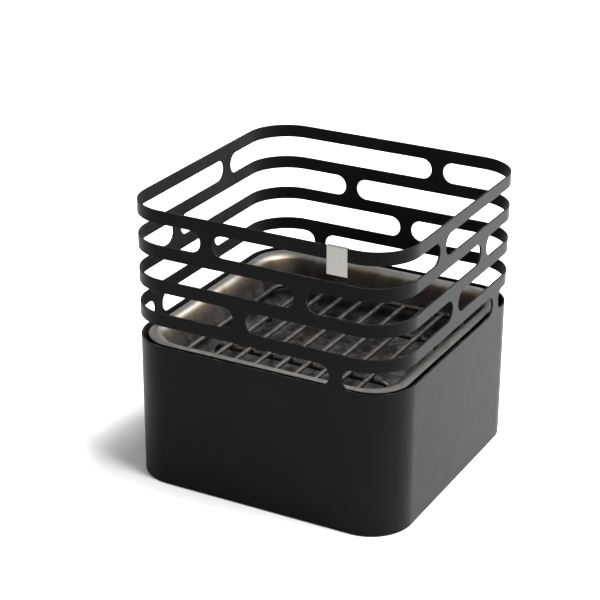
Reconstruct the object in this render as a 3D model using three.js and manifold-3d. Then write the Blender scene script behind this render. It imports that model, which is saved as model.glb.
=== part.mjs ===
// Fire pit with grate: a square fire basket of folded sheet steel. The lower half of the shell is plain,
// the upper half is a cage of four bands. A stainless bowl sits by its flared wall on four ledges inside
// the shell, and a welded rod grate stands in the bowl. The bowl lifts out of the shell, the grate out of
// the bowl. Millimetres, +Z up, origin on the ground under the middle of the shell, front face at -Y.

import * as THREE from 'three';
import * as BufferGeometryUtils from 'three/addons/utils/BufferGeometryUtils.js';
import Module from 'manifold-3d';

// Clearances
const touchGap = 0.3; // left between pieces that are welded, folded or seated on each other

// Shell
const bodySide = 430;
const cornerRadius = 65;
const sheet = 3;
const plainHeight = 218.4;
const bandHeight = 19.2;
const slotHeight = 32.2;
const bridgeWidth = 19;
const bridgeBlock = 18; // depth of the block that a bridge is shaped from, well over the sheet
// Where each slot row is bridged on every face, from the middle of the face to the right as seen from
// outside. The rows are counted from the top.
const bridgeOffsets = [-75, 70, -25, 124.5];
const footGap = 1.5; // the shell's lower edge stands this far off the ground

// Badge, a blank plate folded over the top band of the front face
const badgeWidth = 30.5;
const badgeDrop = 40;
const badgeInnerDrop = 13;
const badgeSheet = 0.8;
const badgeOffset = 125.5;

// Bowl
const bowlGap = 7; // between the lip and the shell
const bowlSheet = 1.5;
const lipWidth = 7; // flat part
const lipDrop = 1.3; // the lip lies this far below the top of the plain part
const lipBend = 12; // top radius where the lip turns down into the wall
const bowlDepth = 72;
const wallLean = THREE.MathUtils.degToRad(23); // from upright
const floorBend = 16;
const floorCorner = 40; // corner radius of the floor's outline

// Ledges
const ledgeSheet = 2.5;
const ledgeWidth = 60;
const ledgeHeight = 26;
const ledgeDrop = 8; // the ledges carry the bowl's wall this far below the lip

// Foot plates and glides
const footSheet = 3;
const footLeg = 20; // straight run of a foot plate along each wall
const footInset = 34; // glide centre from the inner faces of the shell
const glideHeight = 8;
const glideRadius = 12;
const glideEdge = 1; // chamfer round the glide's underside
const stemRadius = 4;
const stemClearance = 0.4;
const headRadius = 5.5;
const headHeight = 3;

// Grate
const rod = 8;
const grateClearance = 8; // between the frame and the bowl wall at the same height
const grateCorner = 42;
const grateStand = 34; // frame's middle above the bowl floor
const barCount = 8;
const barMargin = 5; // from the outermost bars to where the frame's corners start to turn
const stretcherSpacing = 160;
const stretcherBend = 12;
const legClearance = 3; // between the legs and the bend of the bowl floor

// Facets
const cornerSteps = 8;
const bendSteps = 5;
const rodSides = 10;
const slotSteps = 7;
const turnSteps = 24;
const holeSteps = 12;
const mergeDistance = 1e-4; // corners closer than this are one corner

// Derived sizes
const rows = bridgeOffsets.length;
const rowPitch = bandHeight + slotHeight;
const plainTop = footGap + plainHeight;
const shellTop = plainTop + rows * rowPitch;
const outerHalf = bodySide / 2;
const innerHalf = outerHalf - sheet;
const lipHalf = innerHalf - bowlGap;
const lipCorner = cornerRadius - sheet - bowlGap;
const lipTop = plainTop - lipDrop;
const floorTop = lipTop - bowlDepth;
const quarter = Math.PI / 2;
const wallTurn = quarter - wallLean; // how far the sheet turns at the lip, and back at the floor
const wallDrop = bowlDepth - (lipBend + floorBend) * (1 - Math.cos(wallTurn));
const wallStart = lipWidth + lipBend * Math.sin(wallTurn);
const floorStart = wallStart + wallDrop * Math.tan(wallLean) + floorBend * Math.sin(wallTurn);

const wasm = await Module();
wasm.setup();

const finishes = {
  coatedSteel: { color: 0x1c1c1d, roughness: 0.42, metalness: 0.35 },
  stainless: { color: 0xb4b2ae, roughness: 0.28, metalness: 1 },
  rawSteel: { color: 0x4a4744, roughness: 0.55, metalness: 0.9 },
  rubber: { color: 0x151515, roughness: 0.85, metalness: 0 },
};

const model = new THREE.Group();

function place(name, geometry, finish, parent = model) {
  const mesh = new THREE.Mesh(geometry, new THREE.MeshStandardMaterial(finishes[finish]));
  mesh.name = name;
  parent.add(mesh);
  return mesh;
}

// Booleans

function toSolid(geometry) {
  const bare = geometry.clone();
  bare.deleteAttribute('normal');
  bare.deleteAttribute('uv');
  const merged = BufferGeometryUtils.mergeVertices(bare, mergeDistance);
  return new wasm.Manifold(new wasm.Mesh({
    numProp: 3,
    vertProperties: new Float32Array(merged.attributes.position.array),
    triVerts: new Uint32Array(merged.index.array),
  }));
}

function toGeometry(solid) {
  const mesh = solid.getMesh();
  const geometry = new THREE.BufferGeometry();
  geometry.setAttribute('position', new THREE.BufferAttribute(new Float32Array(mesh.vertProperties), 3));
  geometry.setIndex(new THREE.BufferAttribute(new Uint32Array(mesh.triVerts), 1));
  geometry.computeVertexNormals();
  return geometry;
}

function cut(base, tools) {
  return tools.reduce((solid, tool) => solid.subtract(tool), base);
}

// Shapes

function roundedSquare(half, radius) {
  const shape = new THREE.Shape();
  const straight = half - radius;
  shape.moveTo(half, -straight);
  shape.absarc(straight, straight, radius, 0, quarter, false);
  shape.absarc(-straight, straight, radius, quarter, 2 * quarter, false);
  shape.absarc(-straight, -straight, radius, 2 * quarter, 3 * quarter, false);
  shape.absarc(straight, -straight, radius, 3 * quarter, 4 * quarter, false);
  return shape;
}

function prism(shape, bottom, height, curveSegments = cornerSteps) {
  const geometry = new THREE.ExtrudeGeometry(shape, { depth: height, bevelEnabled: false, curveSegments });
  return geometry.translate(0, 0, bottom);
}

// Points of one rounded square ring at height z, counter-clockwise from above.
function ring(half, radius, z) {
  const straight = half - radius;
  const points = [];
  for (let corner = 0; corner < 4; corner += 1) {
    const middle = (corner + 0.5) * quarter;
    const centre = new THREE.Vector2(Math.cos(middle), Math.sin(middle));
    centre.multiplyScalar(straight * Math.SQRT2);
    for (let step = 0; step <= cornerSteps; step += 1) {
      const turn = (corner + step / cornerSteps) * quarter;
      const x = centre.x + radius * Math.cos(turn);
      const y = centre.y + radius * Math.sin(turn);
      points.push(new THREE.Vector3(x, y, z));
    }
  }
  return points;
}

// Skin over a list of rings with the same number of points, each counter-clockwise when looked at
// against the way the list runs. A closed skin joins the last ring to the first; an open one ends in
// flat caps.
function loft(rings, closed) {
  const count = rings[0].length;
  const positions = rings.flat().flatMap((point) => [point.x, point.y, point.z]);
  const faces = [];
  const spans = closed ? rings.length : rings.length - 1;
  for (let level = 0; level < spans; level += 1) {
    const low = level * count;
    const high = ((level + 1) % rings.length) * count;
    for (let i = 0; i < count; i += 1) {
      const next = (i + 1) % count;
      faces.push(low + i, low + next, high + next);
      faces.push(low + i, high + next, high + i);
    }
  }
  if (!closed) {
    const ends = [{ level: 0, flip: true }, { level: rings.length - 1, flip: false }];
    for (const end of ends) {
      const hub = positions.length / 3;
      const total = rings[end.level].reduce((sum, point) => sum.add(point), new THREE.Vector3());
      positions.push(...total.divideScalar(count).toArray());
      for (let i = 0; i < count; i += 1) {
        const a = end.level * count + i;
        const b = end.level * count + ((i + 1) % count);
        faces.push(...(end.flip ? [hub, b, a] : [hub, a, b]));
      }
    }
  }
  const geometry = new THREE.BufferGeometry();
  geometry.setAttribute('position', new THREE.Float32BufferAttribute(positions, 3));
  geometry.setIndex(faces);
  geometry.computeVertexNormals();
  return geometry;
}

// A section in the X-Y plane of a piece that runs straight along one wall: x is the distance inwards
// from the shell's outer face and y is the height. The result is centred at `along` on the front wall.
function wallStrip(section, width, along) {
  const options = { depth: width, bevelEnabled: false, curveSegments: bendSteps };
  const geometry = new THREE.ExtrudeGeometry(section, options);
  const toWall = new THREE.Matrix4().makeBasis(
    new THREE.Vector3(0, 1, 0),
    new THREE.Vector3(0, 0, 1),
    new THREE.Vector3(1, 0, 0),
  );
  geometry.translate(0, 0, along - width / 2);
  geometry.applyMatrix4(toWall);
  return geometry.translate(0, -outerHalf, 0);
}

// Shell

// What stays between two neighbouring slots of a row: a web whose sides follow the slots' round ends.
function bridge(offset, face, middle) {
  const radius = slotHeight / 2;
  const reach = bridgeWidth / 2 + radius;
  const shape = new THREE.Shape();
  shape.moveTo(reach, -radius);
  shape.absarc(reach, 0, radius, -quarter, -3 * quarter, true);
  shape.lineTo(-reach, radius);
  shape.absarc(-reach, 0, radius, quarter, -quarter, true);
  shape.closePath();
  const options = { depth: bridgeBlock, bevelEnabled: false, curveSegments: slotSteps };
  const geometry = new THREE.ExtrudeGeometry(shape, options);
  geometry.rotateX(quarter);
  geometry.translate(offset, (bridgeBlock + sheet) / 2 - outerHalf, middle);
  geometry.rotateZ(face * quarter);
  return toSolid(geometry);
}

function slotRow(offset, row) {
  const middle = shellTop - bandHeight - slotHeight / 2 - row * rowPitch;
  const slab = new THREE.BoxGeometry(bodySide + 2 * sheet, bodySide + 2 * sheet, slotHeight);
  slab.translate(0, 0, middle);
  const bridges = [0, 1, 2, 3].map((face) => bridge(offset, face, middle));
  return cut(toSolid(slab), bridges);
}

function shell() {
  const outside = prism(roundedSquare(outerHalf, cornerRadius), footGap, shellTop - footGap);
  const inside = prism(roundedSquare(innerHalf, cornerRadius - sheet), 0, shellTop + footGap);
  const tube = toSolid(outside).subtract(toSolid(inside));
  return toGeometry(cut(tube, bridgeOffsets.map(slotRow)));
}

place('shell', shell(), 'coatedSteel');

// Badge

function badge() {
  const outerFace = -touchGap;
  const innerFace = sheet + touchGap;
  const under = shellTop + touchGap;
  const section = new THREE.Shape();
  section.moveTo(outerFace - badgeSheet, shellTop - badgeDrop);
  section.lineTo(outerFace, shellTop - badgeDrop);
  section.lineTo(outerFace, under);
  section.lineTo(innerFace, under);
  section.lineTo(innerFace, shellTop - badgeInnerDrop);
  section.lineTo(innerFace + badgeSheet, shellTop - badgeInnerDrop);
  section.absarc(innerFace, under, badgeSheet, 0, quarter, false);
  section.absarc(outerFace, under, badgeSheet, quarter, 2 * quarter, false);
  section.closePath();
  return wallStrip(section, badgeWidth, badgeOffset);
}

place('badge', badge(), 'stainless');

// Ledges: an angle on the middle of each wall, whose edge carries the bowl's flared wall

function ledge() {
  const top = lipTop - ledgeDrop;
  const back = sheet + touchGap;
  const behindWall = (bowlSheet + touchGap) / Math.cos(wallLean);
  const reach = sheet + bowlGap + wallInset(ledgeDrop) - behindWall;
  const section = new THREE.Shape();
  section.moveTo(back, top - ledgeHeight);
  section.lineTo(back + ledgeSheet, top - ledgeHeight);
  section.lineTo(back + ledgeSheet, top - ledgeSheet);
  section.lineTo(reach, top - ledgeSheet);
  section.lineTo(reach, top);
  section.lineTo(back + ledgeSheet, top);
  section.absarc(back + ledgeSheet, top - ledgeSheet, ledgeSheet, quarter, 2 * quarter, false);
  section.closePath();
  return wallStrip(section, ledgeWidth, 0);
}

const faces = ['front', 'right', 'back', 'left'];
faces.forEach((name, face) => {
  place(`bowl_ledge_${name}`, ledge(), 'coatedSteel').rotation.z = face * quarter;
});

// Foot plates in the four corners, each with a push-in glide

const plateBottom = glideHeight;
const footPlace = innerHalf - footInset;

function footPlate() {
  const wall = innerHalf - touchGap;
  const bend = innerHalf - (cornerRadius - sheet);
  const shape = new THREE.Shape();
  shape.moveTo(wall, bend - footLeg);
  shape.lineTo(wall, bend);
  shape.absarc(bend, bend, wall - bend, 0, quarter, false);
  shape.lineTo(bend - footLeg, wall);
  shape.closePath();
  const hole = new THREE.Path();
  hole.absarc(footPlace, footPlace, stemRadius + stemClearance, 0, 4 * quarter, true);
  shape.holes.push(hole);
  return prism(shape, plateBottom, footSheet, holeSteps);
}

function glide() {
  const seat = plateBottom - touchGap;
  const catchHeight = plateBottom + footSheet + touchGap;
  const profile = [
    [0, 0],
    [glideRadius - glideEdge, 0],
    [glideRadius, glideEdge],
    [glideRadius, seat],
    [stemRadius, seat],
    [stemRadius, catchHeight],
    [headRadius, catchHeight],
    [stemRadius, catchHeight + headHeight],
    [0, catchHeight + headHeight],
  ];
  const points = profile.map(([radius, z]) => new THREE.Vector2(radius, z));
  return new THREE.LatheGeometry(points, turnSteps).rotateX(quarter);
}

const corners = ['back_right', 'back_left', 'front_left', 'front_right'];
corners.forEach((name, corner) => {
  const turned = new THREE.Group();
  turned.rotation.z = corner * quarter;
  model.add(turned);
  place(`foot_plate_${name}`, footPlate(), 'coatedSteel', turned);
  const pad = place(`foot_glide_${name}`, glide(), 'rubber', turned);
  pad.position.set(footPlace, footPlace, 0);
});

// Bowl

// How far in from the lip's edge the wall is at a given depth below the lip.
function wallInset(depth) {
  return wallStart + (depth - lipBend * (1 - Math.cos(wallTurn))) * Math.tan(wallLean);
}

// The bowl's upper surface, or its lower one with `skin` set to the sheet's thickness, from the lip's
// edge to the floor: x is the distance in from the lip's edge, y the depth below the lip.
function bowlProfile(skin) {
  const points = [new THREE.Vector2(0, skin)];
  for (let step = 0; step <= bendSteps; step += 1) {
    const angle = (step / bendSteps) * wallTurn;
    const radius = lipBend - skin;
    const inwards = lipWidth + radius * Math.sin(angle);
    points.push(new THREE.Vector2(inwards, lipBend - radius * Math.cos(angle)));
  }
  for (let step = 0; step <= bendSteps; step += 1) {
    const angle = wallTurn * (1 - step / bendSteps);
    const radius = floorBend + skin;
    const inwards = floorStart - radius * Math.sin(angle);
    points.push(new THREE.Vector2(inwards, bowlDepth - floorBend + radius * Math.cos(angle)));
  }
  return points;
}

// Corner radius of the bowl's outline at a given distance in from the lip's edge.
function bowlCorner(inwards) {
  return THREE.MathUtils.lerp(lipCorner, floorCorner, inwards / floorStart);
}

function bowl() {
  const toRing = (point) => ring(lipHalf - point.x, bowlCorner(point.x), lipTop - point.y);
  const upper = bowlProfile(0).map(toRing);
  const lower = bowlProfile(bowlSheet).map(toRing);
  return loft([...lower.reverse(), ...upper], false);
}

place('bowl', bowl(), 'stainless');

// Grate: a rod frame, bars welded into it, and two stretchers under the bars whose ends turn down into
// legs. It stands loose on the bowl's floor.

const grate = new THREE.Group();
grate.position.z = floorTop + grateStand;
model.add(grate);

const frameHalf = lipHalf - wallInset(bowlDepth - grateStand) - grateClearance - rod / 2;

function grateFrame() {
  const rings = [];
  for (let side = 0; side < rodSides; side += 1) {
    const angle = (side / rodSides) * 4 * quarter;
    const out = (rod / 2) * Math.cos(angle);
    rings.push(ring(frameHalf + out, grateCorner + out, (rod / 2) * Math.sin(angle)));
  }
  return loft(rings, true);
}

place('grate_frame', grateFrame(), 'rawSteel', grate);

const barLength = 2 * (frameHalf - rod / 2 - touchGap);
const barSpread = 2 * (frameHalf - grateCorner - barMargin);
for (let bar = 0; bar < barCount; bar += 1) {
  const across = barSpread * (bar / (barCount - 1) - 0.5);
  const geometry = new THREE.CylinderGeometry(rod / 2, rod / 2, barLength, rodSides);
  place(`grate_bar_${bar + 1}`, geometry, 'rawSteel', grate).position.set(across, 0, 0);
}

// A round rod along points that all lie in the X-Z plane.
function bentRod(points) {
  const side = new THREE.Vector3(0, 1, 0);
  const rings = points.map((point, i) => {
    const before = points[Math.max(i - 1, 0)];
    const after = points[Math.min(i + 1, points.length - 1)];
    const along = after.clone().sub(before).normalize();
    const up = side.clone().cross(along);
    return Array.from({ length: rodSides }, (_, k) => {
      const angle = (k / rodSides) * 4 * quarter;
      const spoke = up.clone().multiplyScalar((rod / 2) * Math.cos(angle));
      return spoke.addScaledVector(side, (rod / 2) * Math.sin(angle)).add(point);
    });
  });
  return loft(rings, false);
}

function stretcher() {
  const top = -rod - touchGap;
  const foot = touchGap - grateStand;
  const half = lipHalf - floorStart - legClearance - rod / 2;
  const points = [new THREE.Vector3(-half, 0, foot)];
  for (const end of [-1, 1]) {
    for (let step = 0; step <= bendSteps; step += 1) {
      const angle = (end < 0 ? 1 - step / bendSteps : step / bendSteps) * quarter;
      const x = end * (half - stretcherBend + stretcherBend * Math.sin(angle));
      points.push(new THREE.Vector3(x, 0, top - stretcherBend * (1 - Math.cos(angle))));
    }
  }
  points.push(new THREE.Vector3(half, 0, foot));
  return bentRod(points);
}

place('grate_stretcher_front', stretcher(), 'rawSteel', grate).position.y = -stretcherSpacing / 2;
place('grate_stretcher_back', stretcher(), 'rawSteel', grate).position.y = stretcherSpacing / 2;

export default model;
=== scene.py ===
"""Fire pit with grate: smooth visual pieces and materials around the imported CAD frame."""

import math

import bmesh
import bpy
import numpy as np
from mathutils import Matrix, Vector


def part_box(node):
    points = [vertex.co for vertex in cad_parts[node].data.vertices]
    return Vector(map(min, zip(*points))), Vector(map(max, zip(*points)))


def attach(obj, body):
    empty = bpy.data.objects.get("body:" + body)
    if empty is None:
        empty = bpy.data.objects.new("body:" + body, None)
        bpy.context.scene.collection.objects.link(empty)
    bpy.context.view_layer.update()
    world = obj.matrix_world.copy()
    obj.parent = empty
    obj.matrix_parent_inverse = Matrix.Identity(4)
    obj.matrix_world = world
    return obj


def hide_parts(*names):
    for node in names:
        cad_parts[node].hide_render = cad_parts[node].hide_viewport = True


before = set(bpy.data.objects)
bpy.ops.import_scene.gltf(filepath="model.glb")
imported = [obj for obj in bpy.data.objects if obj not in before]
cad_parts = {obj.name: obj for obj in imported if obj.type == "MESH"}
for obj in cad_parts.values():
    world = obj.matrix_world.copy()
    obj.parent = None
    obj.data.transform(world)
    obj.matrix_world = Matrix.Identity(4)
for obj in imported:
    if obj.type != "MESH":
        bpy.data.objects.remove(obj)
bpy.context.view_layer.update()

MM = 0.001
QUARTER = math.pi / 2
HALF_TURN = 2 * QUARTER
FULL_TURN = 4 * QUARTER


def size_of(node):
    """Lowest and highest corners of a CAD node, in millimetres."""
    low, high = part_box(node)
    return np.array(low) / MM, np.array(high) / MM


# Sizes in millimetres. The overall ones come from the frame, and most of the rest repeat the CAD
# model's. Those marked as looks are this script's own.

shell_low, shell_high = size_of("shell")
bowl_low, bowl_high = size_of("bowl")
badge_low, badge_high = size_of("badge")

TOUCH_GAP = 0.3
FACES = ("front", "right", "back", "left")
CORNERS = ("back_right", "back_left", "front_left", "front_right")

# Shell
HALF = (shell_high[0] - shell_low[0]) / 2
SHELL_BOTTOM = shell_low[2]
SHELL_TOP = shell_high[2]
CORNER_RADIUS = 65
SHEET = 3
BAND_HEIGHT = 19.2
SLOT_HEIGHT = 32.2
BRIDGE_WIDTH = 19
BRIDGE_OFFSETS = (-75, 70, -25, 124.5)  # from the middle of every face, the top row first
CUT_EDGE = 0.45  # looks: rounding that the powder coat leaves on a laser-cut edge

# Bowl
BOWL_SHEET = 1.5
LIP_WIDTH = 7
LIP_BEND = 12
WALL_LEAN = math.radians(23)
FLOOR_BEND = 16
FLOOR_CORNER = 40

# Badge, ledges and foot plates
BADGE_SHEET = 0.8
BADGE_INNER_DROP = 13
LEDGE_SHEET = 2.5
LEDGE_INNER_BEND = 2  # looks, as are the rounded edges
BADGE_EDGE = 0.18
LEDGE_EDGE = 0.4
FOOT_EDGE = 0.5

# Glides
STEM_RADIUS = 4
HEAD_RADIUS = 5.5
DISH_DEPTH = 0.5  # looks, as are the rest of the glide's sizes
DISH_INNER = 0.45  # the dish slopes between these shares of the glide's radius
DISH_OUTER = 0.62
GLIDE_TOE = 1.8
GLIDE_TAPER = 0.3
TAPER_TOP = 0.55  # share of the height under the plate
GLIDE_SHOULDER = 1
STEM_FLARE = 0.2
HEAD_EDGE = 0.1
HEAD_RISE = 0.4
TIP_ROUND = 0.2

# Grate
ROD = 8
ROD_RADIUS = ROD / 2
GRATE_CORNER = 42
STRETCHER_BEND = 12
BAR_COUNT = 8
ROD_UNEVENNESS = 0.05  # looks, as are the rest of the grate's sizes
BAR_END_RINGS = (0, 0.4, 1.2)  # rings close to a sawn end keep its edge crisp
BAR_END = 6  # even steps start this far from it
LEG_END_RINGS = (0, 0.5, 1.5)
RING_BEAD = (4.9, 2.2, 4.3)  # half sizes of the weld between a bar and the ring
RING_BEAD_INSET = 1.3
STRETCHER_BEAD = (1.5, 2.7, 1.9)  # half sizes of each weld between a bar and a stretcher
STRETCHER_BEAD_OFFSET = 3.3
STRETCHER_BEAD_RISE = 0.2
BEAD_LUMPS = (0.06, 0.04)  # shares of a bead's size

# Facets
CORNER_STEPS = 28
WEB_COLUMNS = 9
WEB_ROWS = 18
EDGE_STEPS = 3
BEND_STEPS = 10
HEM_STEPS = 6
FLOOR_SHARES = (0.9, 0.75, 0.55, 0.35, 0.15)  # sizes of the rings that fill the bowl's floor
FOLD_STEPS = 6
INNER_BEND_STEPS = 4
FOOT_STEPS = 24
GLIDE_SIDES = 48
TOE_STEPS = 6
SHOULDER_STEPS = 5
ROD_SIDES = 28
GRATE_CORNER_STEPS = 16
GRATE_SIDE_STEPS = 20
BAR_STEPS = 40
STRETCHER_STEPS = 34
STRETCHER_BEND_STEPS = 12
BEAD_ROWS = 9
BEAD_COLUMNS = 16

# Seeds of the uneven skins
RING_SEED = 1
BAR_SEED = 10
STRETCHER_SEEDS = {"front": 35, "back": 34}
WELD_SEED = 101


# Meshes


def make_object(name, vertices, faces, normals=None):
    mesh = bpy.data.meshes.new(name)
    mesh.from_pydata([tuple(v) for v in np.asarray(vertices) * MM], [], [tuple(f) for f in faces])
    mesh.update()
    for polygon in mesh.polygons:
        polygon.use_smooth = True
    if normals is not None:
        mesh.normals_split_custom_set_from_vertices([tuple(n) for n in normals])
    obj = bpy.data.objects.new(name, mesh)
    bpy.context.scene.collection.objects.link(obj)
    return obj


def store_values(obj, name, values):
    """A number for each vertex, which a material reads as an attribute."""
    attribute = obj.data.attributes.new(name, "FLOAT", "POINT")
    attribute.data.foreach_set("value", values.astype(np.float32))


def quarter_terms(quarter_turns):
    """Cosine and sine of whole quarter turns, as exact numbers."""
    angle = quarter_turns * QUARTER
    return round(math.cos(angle)), round(math.sin(angle))


def turned(points, quarter_turns):
    """Points turned about the vertical axis by whole quarter turns."""
    c, s = quarter_terms(quarter_turns)
    x, y, z = np.asarray(points, float).T
    return np.column_stack([c * x - s * y, s * x + c * y, z])


def turn_object(obj, quarter_turns):
    obj.data.transform(Matrix.Rotation(quarter_turns * QUARTER, 4, "Z"))


def arc(centre, radius, first, last, steps):
    """Points on an arc, with angles counted in quarter turns."""
    angles = np.linspace(first, last, steps + 1) * QUARTER
    return [(centre[0] + radius * math.cos(a), centre[1] + radius * math.sin(a)) for a in angles]


def ring(half, radius, z):
    """A rounded square ring of points, counter-clockwise from above."""
    points = []
    straight = half - radius
    for corner in range(4):
        for step in range(CORNER_STEPS + 1):
            angle = step / CORNER_STEPS * QUARTER
            flat = (straight + radius * math.cos(angle), straight + radius * math.sin(angle), z)
            points.append(turned([flat], corner)[0])
    return np.array(points)


def skin(name, rings, closed=False):
    """A mesh over rings of the same number of points, closed on itself or ending in fans."""
    count = len(rings[0])
    vertices = np.vstack(rings)
    faces = []
    spans = len(rings) if closed else len(rings) - 1
    for level in range(spans):
        low, high = level * count, (level + 1) % len(rings) * count
        for i in range(count):
            j = (i + 1) % count
            faces.append((low + i, low + j, high + j, high + i))
    if not closed:
        hubs = np.array([rings[0].mean(axis=0), rings[-1].mean(axis=0)])
        hub = len(vertices)
        vertices = np.vstack([vertices, hubs])
        last = (len(rings) - 1) * count
        for i in range(count):
            j = (i + 1) % count
            faces.append((hub, j, i))
            faces.append((hub + 1, last + i, last + j))
    return make_object(name, vertices, faces)


def prism(name, outline, axis, start, end):
    """A closed outline of (u, v) points swept along an axis: 0 is X with (y, z), 2 is Z with (x, y)."""
    count = len(outline)
    flat = np.array(outline, float)
    vertices = np.vstack([np.insert(flat, axis, place, axis=1) for place in (start, end)])
    faces = [(i, (i + 1) % count, count + (i + 1) % count, count + i) for i in range(count)]
    faces += [tuple(range(count))[::-1], tuple(range(count, 2 * count))]
    return make_object(name, vertices, faces)


def apply_modifiers(obj):
    depsgraph = bpy.context.evaluated_depsgraph_get()
    mesh = bpy.data.meshes.new_from_object(obj.evaluated_get(depsgraph))
    obj.modifiers.clear()
    obj.data = mesh


def round_edges(obj, width, angle=35):
    """A small round on every edge that turns by more than the angle."""
    bevel = obj.modifiers.new("edges", "BEVEL")
    bevel.width = width * MM
    bevel.segments = 2
    bevel.limit_method = "ANGLE"
    bevel.angle_limit = math.radians(angle)
    bevel.harden_normals = False
    apply_modifiers(obj)


def smooth_by_angle(obj, degrees):
    """Sharp edges above the angle, and normals weighted by area so that flats stay flat."""
    mesh = obj.data
    work = bmesh.new()
    work.from_mesh(mesh)
    for edge in work.edges:
        edge.smooth = len(edge.link_faces) == 2 and edge.calc_face_angle(0) < math.radians(degrees)
    work.to_mesh(mesh)
    work.free()
    weighted = obj.modifiers.new("weighted", "WEIGHTED_NORMAL")
    weighted.keep_sharp = True
    apply_modifiers(obj)


# Shell: one lattice of columns round the outline and rows up the height, laid once as the outer face,
# once as the inner face, and joined along every cut edge by a rounded strip.


class Outline:
    """Columns round the rounded square, each a straight place on a wall or an angle in a corner."""

    def __init__(self):
        self.straight = HALF - CORNER_RADIUS
        self.columns = []
        self.places = {}
        reach = BRIDGE_WIDTH / 2 + SLOT_HEIGHT / 2
        # Places along a wall, with the bridge's row and the web's column that meet the sheet there.
        on_wall = {-self.straight: None, self.straight: None}
        for row, offset in enumerate(BRIDGE_OFFSETS):
            for step, fraction in enumerate(np.linspace(-1, 1, WEB_COLUMNS)):
                on_wall[round(offset + fraction * reach, 6)] = (row, step)
        for face in range(4):
            for place in sorted(on_wall):
                if on_wall[place]:
                    self.places[(face,) + on_wall[place]] = len(self.columns)
                self.columns.append((face, place, None))
            for step in range(1, CORNER_STEPS):
                self.columns.append((face, None, step / CORNER_STEPS * QUARTER))

    def point(self, face, place, angle, z, depth):
        """Place and outward normal of a point `depth` under the outer face."""
        if angle is None:
            x, y = place, depth - HALF
            normal_x, normal_y = 0.0, -1.0
        else:
            radius = CORNER_RADIUS - depth
            normal_x, normal_y = math.sin(angle), -math.cos(angle)
            x, y = self.straight + radius * normal_x, -self.straight + radius * normal_y
        c, s = quarter_terms(face)
        normal = (c * normal_x - s * normal_y, s * normal_x + c * normal_y, 0.0)
        return (c * x - s * y, s * x + c * y, z), normal


def shell_lattice(outline):
    """The lattice's faces, and a function that gives its points for an inset and a depth."""
    count = len(outline.columns)
    radius = SLOT_HEIGHT / 2
    pitch = BAND_HEIGHT + SLOT_HEIGHT
    rows = len(BRIDGE_OFFSETS)
    plain_top = SHELL_TOP - rows * pitch
    # Lower and upper edges of the plain part and of each band, with the way that an inset moves them.
    levels = [(SHELL_BOTTOM, 1), (plain_top, -1)]
    for band in reversed(range(rows)):
        top = SHELL_TOP - band * pitch
        levels += [(top - BAND_HEIGHT, 1), (top, -1)]
    faces = []
    for level in range(0, len(levels), 2):
        low, high = level * count, (level + 1) * count
        for i in range(count):
            j = (i + 1) % count
            faces.append((low + i, low + j, high + j, high + i))
    # Points between the levels on each bridge, whose sides are the round ends of the slots.
    webs = []
    for row, offset in enumerate(BRIDGE_OFFSETS):
        under = 1 + 2 * (rows - 1 - row)  # the level that the bridge stands on
        middle = SHELL_TOP - BAND_HEIGHT - radius - row * pitch
        for face in range(4):
            columns = [outline.places[(face, row, step)] for step in range(WEB_COLUMNS)]
            grid = [[under * count + c for c in columns]]
            for step in range(1, WEB_ROWS):
                start = len(levels) * count + len(webs)
                grid.append(list(range(start, start + WEB_COLUMNS)))
                for fraction in np.linspace(-1, 1, WEB_COLUMNS):
                    webs.append((face, offset, fraction, middle, step / WEB_ROWS * HALF_TURN))
            grid.append([(under + 1) * count + c for c in columns])
            for low, high in zip(grid, grid[1:]):
                for i in range(WEB_COLUMNS - 1):
                    faces.append((low[i], low[i + 1], high[i + 1], high[i]))

    def points(inset, depth):
        """Places and outward normals with every cut edge moved into the sheet by the inset."""
        out = []
        for z, inwards in levels:
            for face, place, angle in outline.columns:
                out.append(outline.point(face, place, angle, z + inwards * inset, depth))
        grown = radius + inset
        for face, offset, fraction, middle, turn in webs:
            half_width = BRIDGE_WIDTH / 2 + radius - grown * math.sin(turn)
            z = middle - grown * math.cos(turn)
            out.append(outline.point(face, offset + fraction * half_width, None, z, depth))
        return np.array([place for place, _ in out]), np.array([normal for _, normal in out])

    return faces, points


def cut_edge_layers():
    """Inset, depth, and shares of the outward and sideways normals, from the outer face to the inner."""
    near = []
    for step in range(EDGE_STEPS + 1):
        turn = step / EDGE_STEPS * QUARTER
        inset = CUT_EDGE * (1 - math.sin(turn))
        depth = CUT_EDGE * (1 - math.cos(turn))
        near.append((inset, depth, math.cos(turn), math.sin(turn)))
    far = [(inset, SHEET - depth, -out, side) for inset, depth, out, side in reversed(near)]
    return near + far


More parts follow.
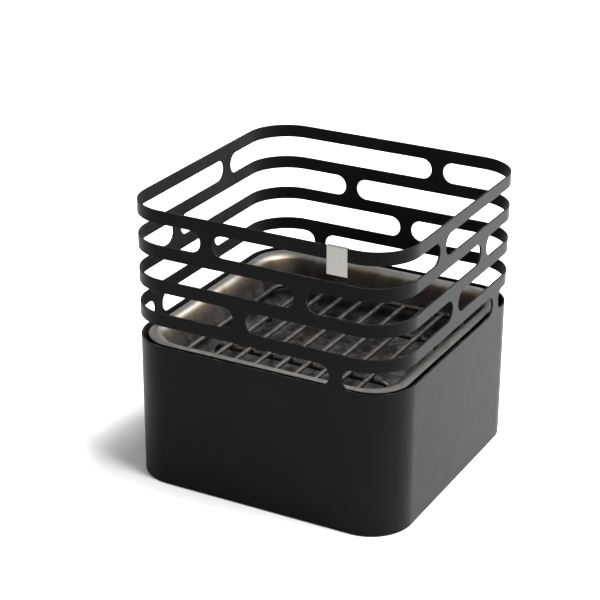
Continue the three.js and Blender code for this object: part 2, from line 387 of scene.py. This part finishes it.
def build_shell():
    """The shell, and the range of its faces that look inwards."""
    faces, points = shell_lattice(Outline())
    edges = [edge for face in faces for edge in zip(face, face[1:] + face[:1])]
    known = set(edges)
    # A cut edge has a face on one side only.
    border = [(a, b) for a, b in edges if (b, a) not in known]
    # The way that each point moves as the inset goes to nothing is its cut edge's sideways normal.
    sunk, _ = points(CUT_EDGE, SHEET / 2)
    flush, _ = points(0, SHEET / 2)
    sideways = flush - sunk
    sideways /= np.maximum(np.linalg.norm(sideways, axis=1, keepdims=True), 1e-9)
    layers = cut_edge_layers()
    vertices, normals = [], []
    for inset, depth, out, side in layers:
        place, outward = points(inset, depth)
        vertices.append(place)
        normals.append(out * outward + side * sideways)
    vertices, normals = np.vstack(vertices), np.vstack(normals)
    size = len(sideways)
    last = (len(layers) - 1) * size
    all_faces = faces + [tuple(last + v for v in reversed(face)) for face in faces]
    for layer in range(len(layers) - 1):
        near, far = layer * size, (layer + 1) * size
        all_faces += [(near + b, near + a, far + a, far + b) for a, b in border]
    # Points inside the sheet that no face uses are dropped.
    keep = np.unique(np.concatenate([np.array(face) for face in all_faces]))
    renumber = np.zeros(len(vertices), int)
    renumber[keep] = np.arange(len(keep))
    all_faces = [tuple(int(renumber[v]) for v in face) for face in all_faces]
    shell = make_object("shell_sheet", vertices[keep], all_faces, normals[keep])
    store_values(shell, "edge", np.repeat([side for _, _, _, side in layers], size)[keep])
    return shell, range(len(faces), 2 * len(faces))


# Bowl


def bowl_profile(skin_depth):
    """Distance in from the lip's edge and depth below its top, from where the lip starts to turn.

    The second value is the distance in from the lip's edge at which the flat floor starts.
    """
    turn = QUARTER - WALL_LEAN
    depth = bowl_high[2] - bowl_low[2] - BOWL_SHEET
    points = []
    for step in range(BEND_STEPS + 1):
        angle = step / BEND_STEPS * turn
        radius = LIP_BEND - skin_depth
        points.append((LIP_WIDTH + radius * math.sin(angle), LIP_BEND - radius * math.cos(angle)))
    drop = depth - (LIP_BEND + FLOOR_BEND) * (1 - math.cos(turn))
    start = LIP_WIDTH + LIP_BEND * math.sin(turn)
    centre = start + drop * math.tan(WALL_LEAN) + FLOOR_BEND * math.sin(turn)
    for step in range(BEND_STEPS + 1):
        angle = turn * (1 - step / BEND_STEPS)
        radius = FLOOR_BEND + skin_depth
        points.append((centre - radius * math.sin(angle), depth - FLOOR_BEND + radius * math.cos(angle)))
    return points, centre


def build_bowl():
    """The pressed bowl: under the floor, up the wall's outside, over the lip, and down its inside."""
    lip_half = bowl_high[0]
    lip_corner = CORNER_RADIUS - (HALF - lip_half)
    upper, floor_start = bowl_profile(0)
    lower, _ = bowl_profile(BOWL_SHEET)
    hem = BOWL_SHEET / 2
    rim = []
    for step in range(HEM_STEPS + 1):
        angle = step / HEM_STEPS * HALF_TURN
        rim.append((hem - hem * math.sin(angle), hem + hem * math.cos(angle)))

    def ring_at(inwards, depth):
        share = max(0.0, inwards) / floor_start
        radius = lip_corner + (FLOOR_CORNER - lip_corner) * min(share, 1)
        return ring(lip_half - inwards, radius, bowl_high[2] - depth)

    def floor_rings(depth):
        rings = []
        for share in FLOOR_SHARES:
            half = (lip_half - floor_start) * share
            radius = min(half, FLOOR_CORNER + (half - FLOOR_CORNER) * (1 - share))
            rings.append(ring(half, radius, bowl_high[2] - depth))
        return rings

    floor_depth = upper[-1][1]
    rings = floor_rings(floor_depth + BOWL_SHEET)[::-1]
    rings += [ring_at(*place) for place in lower[::-1] + rim]
    outside = len(rings) * len(rings[0])
    rings += [ring_at(*place) for place in [(BOWL_SHEET, 0)] + upper]
    rings += floor_rings(floor_depth)
    bowl = skin("bowl_pressing", rings)
    # Painted shade: the outside and the round of the lip's edge are marked with 1 here, and the material
    # paints them near black for the shade in the gap to the shell.
    values = np.zeros(len(bowl.data.vertices))
    values[:outside] = 1.0
    values[-2] = 1.0  # the middle of the floor's underside
    store_values(bowl, "outside", values)
    smooth_by_angle(bowl, 60)
    return bowl


# Small sheet parts


def build_badge():
    """A plate folded over the top band: its outline seen from the side, swept across its width."""
    outer = badge_low[1] + BADGE_SHEET
    inner = badge_high[1] - BADGE_SHEET
    under = badge_high[2] - BADGE_SHEET
    inner_end = SHELL_TOP - BADGE_INNER_DROP
    outline = [(outer, badge_low[2]), (outer, under), (inner, under)]
    outline += [(inner, inner_end), (badge_high[1], inner_end)]
    outline += arc((inner, under), BADGE_SHEET, 0, 1, FOLD_STEPS)
    outline += arc((outer, under), BADGE_SHEET, 1, 2, FOLD_STEPS)
    outline += [(badge_low[1], badge_low[2])]
    badge = prism("badge_plate", outline, 0, badge_low[0], badge_high[0])
    round_edges(badge, BADGE_EDGE)
    smooth_by_angle(badge, 30)
    return badge


def build_ledge(face):
    """A folded ledge, made on the front wall and turned to its own."""
    low, high = size_of("bowl_ledge_front")
    back, top = low[1], high[2]
    fold = back + LEDGE_SHEET
    under = top - LEDGE_SHEET
    inner_bend = (fold + LEDGE_INNER_BEND, under - LEDGE_INNER_BEND)
    outline = [(back, low[2]), (fold, low[2])]
    outline += arc(inner_bend, LEDGE_INNER_BEND, 2, 1, INNER_BEND_STEPS)
    outline += [(high[1], under), (high[1], top)]
    outline += arc((fold, under), LEDGE_SHEET, 1, 2, FOLD_STEPS)
    ledge = prism(f"ledge_{FACES[face]}", outline[::-1], 0, low[0], high[0])
    round_edges(ledge, LEDGE_EDGE)
    smooth_by_angle(ledge, 30)
    turn_object(ledge, face)
    return ledge


def build_foot_plate(corner):
    """A corner plate, made in the back right corner and turned to its own."""
    low, high = size_of("foot_plate_back_right")
    wall, end = high[0], low[0]
    bend = HALF - CORNER_RADIUS
    outline = [(wall, end)] + arc((bend, bend), wall - bend, 0, 1, FOOT_STEPS) + [(end, wall)]
    plate = prism(f"foot_sheet_{CORNERS[corner]}", outline, 2, low[2], high[2])
    round_edges(plate, FOOT_EDGE, 50)
    smooth_by_angle(plate, 30)
    turn_object(plate, corner)
    return plate


def build_glide(corner):
    """A glide with a dished foot, a stem through the plate and a head that snaps in above it."""
    low, high = size_of("foot_glide_back_right")
    plate_low, plate_high = size_of("foot_plate_back_right")
    middle = (low + high) / 2
    radius = (high[0] - low[0]) / 2
    top = high[2]
    seat, catch = plate_low[2] - TOUCH_GAP, plate_high[2] + TOUCH_GAP
    shoulder = radius - GLIDE_TAPER - GLIDE_SHOULDER
    profile = [(radius * DISH_INNER, DISH_DEPTH), (radius * DISH_OUTER, 0)]
    profile += arc((radius - GLIDE_TOE, GLIDE_TOE), GLIDE_TOE, -1, 0, TOE_STEPS)
    profile += [(radius - GLIDE_TAPER, seat * TAPER_TOP)]
    profile += arc((shoulder, seat - GLIDE_SHOULDER), GLIDE_SHOULDER, 0, 1, SHOULDER_STEPS)
    profile += [(STEM_RADIUS + STEM_FLARE, seat), (STEM_RADIUS, plate_low[2]), (STEM_RADIUS, catch)]
    profile += [(HEAD_RADIUS - HEAD_EDGE, catch), (HEAD_RADIUS, catch + HEAD_RISE)]
    profile += [(STEM_RADIUS + TIP_ROUND, top - TIP_ROUND), (STEM_RADIUS - 2 * TIP_ROUND, top)]
    angles = np.arange(GLIDE_SIDES) / GLIDE_SIDES * FULL_TURN
    rings = []
    for reach, z in profile:
        x = middle[0] + reach * np.cos(angles)
        y = middle[1] + reach * np.sin(angles)
        rings.append(np.column_stack([x, y, np.full(GLIDE_SIDES, z)]))
    glide = skin(f"glide_{CORNERS[corner]}", rings)
    smooth_by_angle(glide, 40)
    turn_object(glide, corner)
    return glide


# Grate


def tube(name, path, seed, closed=False):
    """A round rod along a path, its skin a little uneven as hot-rolled rod is."""
    path = np.array(path, float)
    if closed:
        before, after = np.roll(path, 1, axis=0), np.roll(path, -1, axis=0)
    else:
        before = np.vstack([path[:1], path[:-1]])
        after = np.vstack([path[1:], path[-1:]])
    along = after - before
    along /= np.linalg.norm(along, axis=1, keepdims=True)
    random = np.random.default_rng(seed)
    angles = np.arange(ROD_SIDES) / ROD_SIDES * FULL_TURN
    rings = []
    side = None
    for place, direction in zip(path, along):
        if side is None:
            side = np.cross(direction, (0, 0, 1) if abs(direction[2]) < 0.9 else (1, 0, 0))
        side = side - direction * side.dot(direction)
        side /= np.linalg.norm(side)
        up = np.cross(direction, side)
        spokes = np.outer(np.cos(angles), side) + np.outer(np.sin(angles), up)
        rings.append(place + spokes * (ROD_RADIUS - random.uniform(0, ROD_UNEVENNESS, (ROD_SIDES, 1))))
    return skin(name, rings, closed)


def build_grate_frame():
    """The closed ring of rod round the bars."""
    low, high = size_of("grate_frame")
    half = high[0] - (high[2] - low[2]) / 2
    z = (high[2] + low[2]) / 2
    straight = half - GRATE_CORNER
    bend = arc((straight, straight), GRATE_CORNER, 0, 1, GRATE_CORNER_STEPS)
    run = []
    for step in range(1, GRATE_SIDE_STEPS):
        run.append((straight - step * 2 * straight / GRATE_SIDE_STEPS, half))
    side = [(x, y, z) for x, y in bend + run]
    outline = np.vstack([turned(side, corner) for corner in range(4)])
    return tube("grate_ring", outline, RING_SEED, closed=True)


def build_grate_bar(number):
    low, high = size_of(f"grate_bar_{number}")
    middle = (low + high) / 2
    places = [low[1] + gap for gap in BAR_END_RINGS]
    places += list(np.linspace(low[1] + BAR_END, high[1] - BAR_END, BAR_STEPS))
    places += [high[1] - gap for gap in reversed(BAR_END_RINGS)]
    path = [(middle[0], y, middle[2]) for y in places]
    return tube(f"grate_rod_{number}", path, BAR_SEED + number)


def build_stretcher(name):
    """A rod across the bars, bent down at both ends into legs."""
    low, high = size_of(f"grate_stretcher_{name}")
    y = (low[1] + high[1]) / 2
    half, top = high[0] - ROD_RADIUS, high[2] - ROD_RADIUS
    straight, under = half - STRETCHER_BEND, top - STRETCHER_BEND
    path = [(-half, low[2] + gap) for gap in LEG_END_RINGS]
    path += arc((-straight, under), STRETCHER_BEND, 2, 1, STRETCHER_BEND_STEPS)
    path += [(x, top) for x in np.linspace(-straight, straight, STRETCHER_STEPS)[1:-1]]
    path += arc((straight, under), STRETCHER_BEND, 1, 0, STRETCHER_BEND_STEPS)
    path += [(half, low[2] + gap) for gap in reversed(LEG_END_RINGS)]
    points = [(x, y, z) for x, z in path]
    return tube(f"grate_leg_rod_{name}", points, STRETCHER_SEEDS[name])


def bead(centre, radii, seed):
    """Vertices and faces of one weld bead: a flattened ball with a lumpy skin."""
    phase = np.random.default_rng(seed).uniform(0, FULL_TURN, 2)
    vertices, faces = [], []
    for row in range(BEAD_ROWS + 1):
        tilt = row / BEAD_ROWS * HALF_TURN
        for column in range(BEAD_COLUMNS):
            spin = column / BEAD_COLUMNS * FULL_TURN
            lump = 1 + BEAD_LUMPS[0] * math.sin(3 * spin + phase[0]) * math.sin(2 * tilt)
            lump += BEAD_LUMPS[1] * math.sin(5 * spin + 3 * tilt + phase[1])
            flat = math.sin(tilt)
            way = np.array([flat * math.cos(spin), flat * math.sin(spin), math.cos(tilt)])
            vertices.append(np.array(centre) + way * radii * lump)
    for row in range(BEAD_ROWS):
        for column in range(BEAD_COLUMNS):
            right = (column + 1) % BEAD_COLUMNS
            a, b = row * BEAD_COLUMNS + column, row * BEAD_COLUMNS + right
            c, d = b + BEAD_COLUMNS, a + BEAD_COLUMNS
            if row == 0:
                faces.append((a, d, c))
            elif row == BEAD_ROWS - 1:
                faces.append((a, d, b))
            else:
                faces.append((a, d, c, b))
    return vertices, faces


def weld_spots():
    """Centre and half sizes of each bead: at both ends of a bar, and on both sides of it at a stretcher."""
    ring_high = size_of("grate_frame")[1]
    reach = ring_high[0] - ROD - RING_BEAD_INSET
    spots = []
    for number in range(1, BAR_COUNT + 1):
        low, high = size_of(f"grate_bar_{number}")
        x, _, z = (low + high) / 2
        for side in (-1, 1):
            spots.append(((x, side * reach, z), RING_BEAD))
            for name in STRETCHER_SEEDS:
                rod_low, rod_high = size_of(f"grate_stretcher_{name}")
                y = (rod_low[1] + rod_high[1]) / 2
                place = (x + side * STRETCHER_BEAD_OFFSET, y, rod_high[2] + STRETCHER_BEAD_RISE)
                spots.append((place, STRETCHER_BEAD))
    return spots


def build_welds():
    """All the weld beads as one piece."""
    vertices, faces = [], []
    for seed, (centre, radii) in enumerate(weld_spots(), WELD_SEED):
        new_vertices, new_faces = bead(centre, np.array(radii), seed)
        base = len(vertices)
        vertices += new_vertices
        faces += [tuple(base + v for v in face) for face in new_faces]
    return make_object("grate_welds", vertices, faces)


# Materials. Noise scales are in cells to the metre, heights and depths in metres.


class Nodes:
    """A material's node tree with short ways to add and link nodes."""

    def __init__(self, name):
        self.material = bpy.data.materials.new(name)
        self.material.use_nodes = True
        self.tree = self.material.node_tree
        self.shader = self.tree.nodes["Principled BSDF"]
        self.position = self.add("ShaderNodeTexCoord").outputs["Object"]

    def add(self, kind, **settings):
        node = self.tree.nodes.new(kind)
        for key, value in settings.items():
            setattr(node, key, value)
        return node

    def link(self, source, target):
        self.tree.links.new(source, target)

    def stretched(self, scale):
        """The position scaled by its own factor along each axis, for brushed lines."""
        mapping = self.add("ShaderNodeMapping")
        mapping.inputs["Scale"].default_value = scale
        self.link(self.position, mapping.inputs["Vector"])
        return mapping.outputs["Vector"]

    def noise(self, scale, detail=3, roughness=0.55, distortion=0.0, vector=None):
        node = self.add("ShaderNodeTexNoise")
        node.inputs["Scale"].default_value = scale
        node.inputs["Detail"].default_value = detail
        node.inputs["Roughness"].default_value = roughness
        node.inputs["Distortion"].default_value = distortion
        self.link(vector or self.position, node.inputs["Vector"])
        return node.outputs["Fac"]

    def attribute(self, name):
        return self.add("ShaderNodeAttribute", attribute_name=name).outputs["Fac"]

    def height(self):
        split = self.add("ShaderNodeSeparateXYZ")
        self.link(self.position, split.inputs["Vector"])
        return split.outputs["Z"]

    def math(self, operation, first, second, clamp=False):
        node = self.add("ShaderNodeMath", operation=operation, use_clamp=clamp)
        for socket, value in zip(node.inputs, (first, second)):
            if isinstance(value, bpy.types.NodeSocket):
                self.link(value, socket)
            else:
                socket.default_value = value
        return node.outputs["Value"]

    def spread(self, value, low, high, to_low=0.0, to_high=1.0):
        """The value's range from low to high laid over another range, and held at its ends."""
        node = self.add("ShaderNodeMapRange")
        for key, number in zip(("From Min", "From Max", "To Min", "To Max"), (low, high, to_low, to_high)):
            node.inputs[key].default_value = number
        self.link(value, node.inputs["Value"])
        return node.outputs["Result"]

    def ramp(self, value, stops):
        node = self.add("ShaderNodeValToRGB")
        elements = node.color_ramp.elements
        while len(elements) < len(stops):
            elements.new(0.5)
        for element, (place, colour) in zip(elements, stops):
            element.position = place
            element.color = (*colour, 1)
        self.link(value, node.inputs["Fac"])
        return node.outputs["Color"]

    def mix(self, share, first, second, blend="MIX"):
        node = self.add("ShaderNodeMix", data_type="RGBA", blend_type=blend)
        sockets = [s for s in node.inputs if s.type == "RGBA"]
        for socket, value in zip((node.inputs[0], *sockets), (share, first, second)):
            if isinstance(value, bpy.types.NodeSocket):
                self.link(value, socket)
            else:
                socket.default_value = value if isinstance(value, float) else (*value, 1)
        return [s for s in node.outputs if s.type == "RGBA"][0]

    def bump(self, heights):
        """Chained bumps from (height output, strength, distance in metres) triples."""
        normal = None
        for height, strength, distance in heights:
            node = self.add("ShaderNodeBump")
            node.inputs["Strength"].default_value = strength
            node.inputs["Distance"].default_value = distance
            self.link(height, node.inputs["Height"])
            if normal:
                self.link(normal, node.inputs["Normal"])
            normal = node.outputs["Normal"]
        self.link(normal, self.shader.inputs["Normal"])

    def colour(self, output):
        self.link(output, self.shader.inputs["Base Color"])

    def rough(self, output):
        self.link(output, self.shader.inputs["Roughness"])

    def metal(self, output):
        self.link(output, self.shader.inputs["Metallic"])

    def set(self, **values):
        for key, value in values.items():
            self.shader.inputs[key.replace("_", " ")].default_value = value


def powder_coat():
    """Satin black coat: faint clouds, fine dust, cut edges rubbed here and there, an orange-peel skin."""
    n = Nodes("satin_black_powder_coat")
    clouds = n.noise(9, detail=4)
    base = n.ramp(clouds, [(0.3, (0.0018, 0.0018, 0.0019)), (0.7, (0.003, 0.003, 0.0031))])
    rubbed_spots = n.spread(n.noise(60, detail=4, roughness=0.6), 0.45, 0.75)
    rub = n.math("MULTIPLY", n.attribute("edge"), rubbed_spots, clamp=True)
    base = n.mix(rub, base, (0.02, 0.02, 0.021))
    dust = n.spread(n.noise(420, roughness=0.7), 0.68, 0.8, to_high=0.3)
    n.colour(n.mix(dust, base, (0.011, 0.011, 0.0115)))
    n.rough(n.spread(n.noise(45, detail=4), 0.3, 0.7, 0.4, 0.43))
    n.bump([(n.noise(1100, detail=2), 0.2, 0.00008), (n.noise(210, detail=2), 0.06, 0.0001)])
    n.set(Metallic=0.0, IOR=1.5, Specular_IOR_Level=0.055)
    return n.material


def sooted_coat():
    """The same coat on the fire's side: dulled by heat, with soot and specks of ash."""
    n = Nodes("sooted_black_powder_coat")
    soot = n.noise(14, detail=5, roughness=0.6)
    base = n.ramp(soot, [(0.3, (0.0028, 0.0026, 0.0025)), (0.7, (0.0062, 0.0058, 0.0055))])
    ash = n.spread(n.noise(320, detail=4, roughness=0.7), 0.64, 0.78, to_high=0.4)
    n.colour(n.mix(ash, base, (0.016, 0.0155, 0.015)))
    n.rough(n.spread(n.noise(30, detail=5), 0.3, 0.7, 0.58, 0.74))
    n.bump([(n.noise(1400), 0.35, 0.0001), (n.noise(90, detail=4), 0.2, 0.0002)])
    n.set(Metallic=0.0, IOR=1.5, Specular_IOR_Level=0.06)
    return n.material


def badge_steel():
    """Stainless brushed upwards, with a few duller clouds."""
    n = Nodes("brushed_stainless_badge")
    lines = n.noise(1.0, detail=5, roughness=0.75, vector=n.stretched((2600, 2600, 45)))
    bright = n.ramp(lines, [(0.25, (0.24, 0.235, 0.222)), (0.75, (0.34, 0.333, 0.312))])
    clouds = n.spread(n.noise(60), 0.35, 0.7, to_high=0.35)
    n.colour(n.mix(clouds, bright, (0.27, 0.255, 0.228)))
    n.rough(n.spread(lines, 0.3, 0.7, 0.34, 0.48))
    n.bump([(lines, 0.35, 0.00003)])
    n.set(Metallic=1.0)
    return n.material


def bowl_steel():
    """Stainless that stays bright at the lip and is browned and sooted down the wall by the fire. Its
    outside and the lip's outer edge are painted near black: painted shade for the gap between the lip and
    the shell.
    """
    n = Nodes("heat_stained_stainless_bowl")
    lines = n.noise(1.0, detail=5, roughness=0.7, vector=n.stretched((90, 90, 2600)))
    swirl = n.noise(28, detail=5, roughness=0.6, distortion=0.6)
    bright = n.ramp(lines, [(0.25, (0.18, 0.177, 0.17)), (0.75, (0.235, 0.231, 0.223))])

    lip = float(bowl_high[2] * MM)
    depth = n.math("SUBTRACT", lip, n.height())
    uneven = n.math("ADD", depth, n.spread(swirl, 0.3, 0.7, -0.0025, 0.0035))
    tint = n.ramp(n.spread(uneven, 0.001, 0.040), [
        (0.0, (1.0, 0.99, 0.97)),
        (0.07, (0.78, 0.7, 0.61)),
        (0.18, (0.4, 0.3, 0.23)),
        (0.34, (0.21, 0.165, 0.145)),
        (0.55, (0.11, 0.095, 0.09)),
        (1.0, (0.075, 0.07, 0.068)),
    ])
    base = n.mix(1.0, bright, tint, blend="MULTIPLY")

    soot = n.spread(n.noise(38, detail=6, roughness=0.65), 0.42, 0.66)
    soot = n.math("MULTIPLY", soot, n.spread(uneven, 0.012, 0.05))
    base = n.mix(soot, base, (0.022, 0.02, 0.019))

    drifts = n.spread(n.noise(24, detail=4, roughness=0.6), 0.44, 0.62, 0.15, 1.0)
    ash = n.math("MULTIPLY", n.spread(n.noise(110, detail=8, roughness=0.78), 0.5, 0.82), drifts)
    ash = n.math("MULTIPLY", ash, n.spread(depth, 0.056, 0.0705))
    base = n.mix(ash, base, (0.17, 0.163, 0.153))

    # Painted shade: the points marked "outside" (the pressing's outside and the round of the lip's edge)
    # get a near-black colour that stands for the shade in the gap between the lip and the shell.
    outside = n.attribute("outside")
    painted_gap_shade = n.ramp(swirl, [(0.35, (0.018, 0.016, 0.015)), (0.65, (0.05, 0.043, 0.038))])
    n.colour(n.mix(outside, base, painted_gap_shade))

    dull = n.math("MAXIMUM", n.math("MULTIPLY", soot, 0.8), ash)
    # The painted shade of the outside also takes most of the metal away, so that it stays dark.
    dull = n.math("MAXIMUM", dull, n.math("MULTIPLY", outside, 0.7))
    n.metal(n.math("SUBTRACT", 1.0, dull, clamp=True))
    rough = n.spread(lines, 0.3, 0.7, 0.42, 0.52)
    rough = n.math("ADD", rough, n.spread(uneven, 0.008, 0.045, to_high=0.2))
    covered = n.math("MULTIPLY", n.math("MAXIMUM", soot, ash), 0.3)
    n.rough(n.math("ADD", rough, covered, clamp=True))
    n.bump([(lines, 0.2, 0.00002), (ash, 0.4, 0.0003)])
    return n.material


def grate_steel():
    """Hot-rolled rod with mill scale, gone brown and blue-grey in the fire, with spots of rust."""
    n = Nodes("scaled_rod_steel")
    scale = n.noise(85, detail=6, roughness=0.65, distortion=0.4)
    base = n.ramp(scale, [
        (0.28, (0.015, 0.0147, 0.015)),
        (0.45, (0.03, 0.0275, 0.026)),
        (0.58, (0.046, 0.04, 0.035)),
        (0.72, (0.036, 0.037, 0.042)),
    ])
    rust = n.spread(n.noise(240, detail=5, roughness=0.7), 0.62, 0.74, to_high=0.6)
    n.colour(n.mix(rust, base, (0.07, 0.034, 0.019)))
    n.metal(n.math("MULTIPLY", n.math("SUBTRACT", 1.0, rust), 0.85))
    n.rough(n.spread(scale, 0.3, 0.7, 0.36, 0.6))
    n.bump([(n.noise(900), 0.35, 0.0001), (scale, 0.25, 0.00035), (rust, 0.4, 0.0001)])
    return n.material


def glide_rubber():
    """Matt black rubber, a little grey where it is scuffed."""
    n = Nodes("black_rubber_glide")
    n.colour(n.ramp(n.noise(140, detail=4), [(0.3, (0.014, 0.014, 0.014)), (0.7, (0.026, 0.025, 0.024))]))
    n.rough(n.spread(n.noise(300), 0.3, 0.7, 0.62, 0.82))
    n.bump([(n.noise(1500), 0.4, 0.00008)])
    n.set(Metallic=0.0)
    return n.material


# Pieces: each stands for its CAD node and moves with that node's body. The welds have no CAD node.


def finish_piece(piece, material, slot, body, *nodes):
    piece.data.materials.clear()
    piece.data.materials.append(material)
    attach(piece, body)
    if nodes:
        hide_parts(*nodes)


def build_pieces():
    coat = powder_coat()
    rubber = glide_rubber()
    rods = grate_steel()

    shell, inner_faces = build_shell()
    finish_piece(shell, coat, "coated_steel", "shell", "shell")
    shell.data.materials.append(sooted_coat())
    for face in inner_faces:
        shell.data.polygons[face].material_index = 1

    finish_piece(build_badge(), badge_steel(), "stainless_badge", "shell", "badge")
    finish_piece(build_bowl(), bowl_steel(), "stainless_bowl", "bowl", "bowl")
    for side in range(4):
        finish_piece(build_ledge(side), coat, "coated_steel", "shell", f"bowl_ledge_{FACES[side]}")
        finish_piece(build_foot_plate(side), coat, "coated_steel", "shell", f"foot_plate_{CORNERS[side]}")
        finish_piece(build_glide(side), rubber, "glide_rubber", "shell", f"foot_glide_{CORNERS[side]}")

    finish_piece(build_grate_frame(), rods, "grate_steel", "grate", "grate_frame")
    for number in range(1, BAR_COUNT + 1):
        finish_piece(build_grate_bar(number), rods, "grate_steel", "grate", f"grate_bar_{number}")
    for name in STRETCHER_SEEDS:
        finish_piece(build_stretcher(name), rods, "grate_steel", "grate", f"grate_stretcher_{name}")
    finish_piece(build_welds(), rods, "grate_steel", "grate")


# Floor, light and camera

FLOOR_SIZE = 30000
WORLD_STRENGTH = 0.48

# Camera: degrees and metres, the lens and the sensor in millimetres, the shift in frame widths
AZIMUTH = 27.42
ELEVATION = 23.96
TARGET_HEIGHT = 0.2165
DISTANCE = 2.649
FOCAL_LENGTH = 107.74
SENSOR = 36
ROLL = 0.57
SHIFT = (-0.0453, 0.0271)


def build_floor():
    corner = (FLOOR_SIZE / 2, FLOOR_SIZE / 2, 0)
    corners = [turned([corner], quarter_turns)[0] for quarter_turns in (2, 3, 0, 1)]
    floor = make_object("floor", corners, [(0, 1, 2, 3)])
    n = Nodes("floor_pale")
    n.colour(n.ramp(n.noise(3, detail=2), [(0.3, (0.89, 0.89, 0.89)), (0.7, (0.91, 0.91, 0.91))]))
    n.set(Roughness=0.9, Specular_IOR_Level=0.1)
    floor.data.materials.append(n.material)


def area_light(name, place, target, size, power):
    """A rectangular lamp aimed at a target, in metres and watts."""
    data = bpy.data.lights.new(name, "AREA")
    data.shape = "RECTANGLE"
    data.size, data.size_y = size
    data.energy = power
    light = bpy.data.objects.new(name, data)
    light.location = place
    direction = Vector(target) - Vector(place)
    light.rotation_euler = direction.to_track_quat("-Z", "Y").to_euler()
    bpy.context.scene.collection.objects.link(light)


def build_lights():
    """A key light from the upper right, two panels from behind on the right, and a pale world."""
    area_light("key", place=(1.35, -0.22, 2.9), target=(0.1, -0.1, 0), size=(1.1, 1.1), power=145)
    area_light("overhead", place=(0.95, 1.15, 2.3), target=(0.6, 0.7, 0), size=(1.6, 1.6), power=170)
    area_light("side_panel", place=(1.5, 2.6, 0.75), target=(0.1, 0, 0.25), size=(2.4, 1.3), power=60)
    world = bpy.data.worlds.new("studio")
    world.use_nodes = True
    background = world.node_tree.nodes["Background"]
    background.inputs["Color"].default_value = (1, 1, 1, 1)
    background.inputs["Strength"].default_value = WORLD_STRENGTH
    bpy.context.scene.world = world


def build_camera():
    azimuth, elevation = math.radians(AZIMUTH), math.radians(ELEVATION)
    back = Vector((
        math.sin(azimuth) * math.cos(elevation),
        -math.cos(azimuth) * math.cos(elevation),
        math.sin(elevation),
    ))
    target = Vector((0, 0, TARGET_HEIGHT))
    right = (-back).cross(Vector((0, 0, 1))).normalized()
    up = right.cross(-back)
    basis = Matrix((right, up, back)).transposed() @ Matrix.Rotation(math.radians(ROLL), 3, "Z")
    data = bpy.data.cameras.new("camera")
    data.lens = FOCAL_LENGTH
    data.sensor_width = SENSOR
    data.shift_x, data.shift_y = SHIFT
    camera = bpy.data.objects.new("camera", data)
    camera.matrix_world = Matrix.Translation(target + back * DISTANCE) @ basis.to_4x4()
    bpy.context.scene.collection.objects.link(camera)
    bpy.context.scene.camera = camera


build_pieces()
build_floor()
build_lights()
build_camera()
bpy.context.scene.view_settings.view_transform = "Standard"
